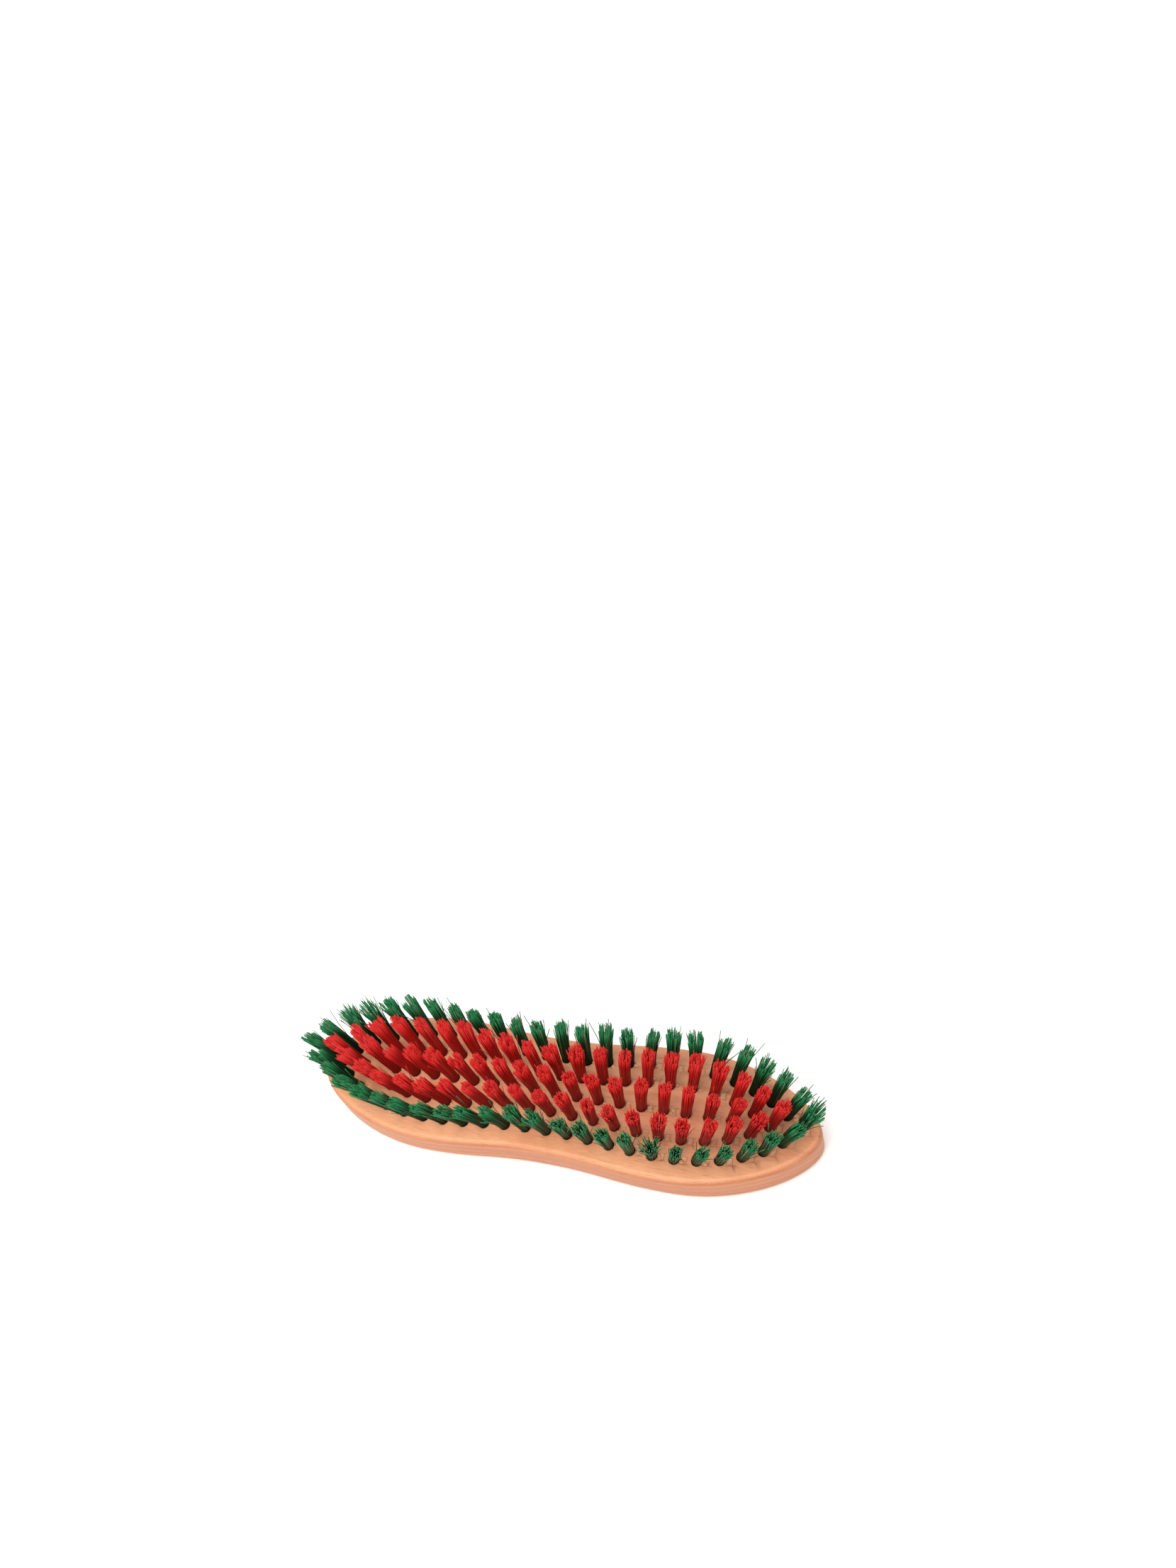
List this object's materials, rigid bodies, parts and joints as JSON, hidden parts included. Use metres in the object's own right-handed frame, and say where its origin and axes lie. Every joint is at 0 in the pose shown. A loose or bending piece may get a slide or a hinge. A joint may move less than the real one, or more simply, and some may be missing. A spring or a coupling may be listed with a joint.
{
  "type": "scrubbing brush",
  "caption": "Hand scrubbing brush: a waisted, pointed wooden block with a ring of green tufts around red tufts, fanned outwards and trimmed flat, and a plain label on the back.",
  "frame": {"origin": "centre of the bounding box, at the lowest face, which is the outside of the label on the back", "axes": "+X along the length, from the nose to the heel; +Y across the block; +Z from the back towards the tufts' tips"},
  "size_m": [0.2202, 0.056, 0.0355],
  "materials": {
    "wood": "bare planed light wood, unvarnished, with fine straight grain along its length",
    "green_filament": "stiff extruded filament, slightly translucent, dark at the foot and lighter at the cut tips",
    "red_filament": "stiff extruded filament, with pale pink cut tips",
    "label": null
  },
  "bodies": {
    "root": {"wooden_block": "wood", "back_label": "label", "border_tufts_01": "green_filament", "border_tufts_02": "green_filament", "border_tufts_03": "green_filament", "border_tufts_04": "green_filament", "border_tufts_05": "green_filament", "border_tufts_06": "green_filament", "border_tufts_07": "green_filament", "border_tufts_08": "green_filament", "border_tufts_09": "green_filament", "border_tufts_10": "green_filament", "border_tufts_11": "green_filament", "border_tufts_12": "green_filament", "border_tufts_13": "green_filament", "border_tufts_14": "green_filament", "border_tufts_15": "green_filament", "border_tufts_16": "green_filament", "border_tufts_17": "green_filament", "border_tufts_18": "green_filament", "border_tufts_19": "green_filament", "border_tufts_20": "green_filament", "border_tufts_21": "green_filament", "border_tufts_22": "green_filament", "border_tufts_23": "green_filament", "border_tufts_24": "green_filament", "ring_tufts_01": "red_filament", "ring_tufts_02": "red_filament", "ring_tufts_03": "red_filament", "ring_tufts_04": "red_filament", "ring_tufts_05": "red_filament", "ring_tufts_06": "red_filament", "ring_tufts_07": "red_filament", "ring_tufts_08": "red_filament", "ring_tufts_09": "red_filament", "ring_tufts_10": "red_filament", "ring_tufts_11": "red_filament", "ring_tufts_12": "red_filament", "ring_tufts_13": "red_filament", "ring_tufts_14": "red_filament", "ring_tufts_15": "red_filament", "ring_tufts_16": "red_filament", "ring_tufts_17": "red_filament", "ring_tufts_18": "red_filament", "ring_tufts_19": "red_filament", "ring_tufts_20": "red_filament", "spine_tufts_01": "red_filament", "spine_tufts_02": "red_filament", "spine_tufts_03": "red_filament", "spine_tufts_04": "red_filament", "spine_tufts_05": "red_filament", "spine_tufts_06": "red_filament", "spine_tufts_07": "red_filament", "spine_tufts_08": "red_filament", "spine_tufts_09": "red_filament"}
  },
  "joints": []
}
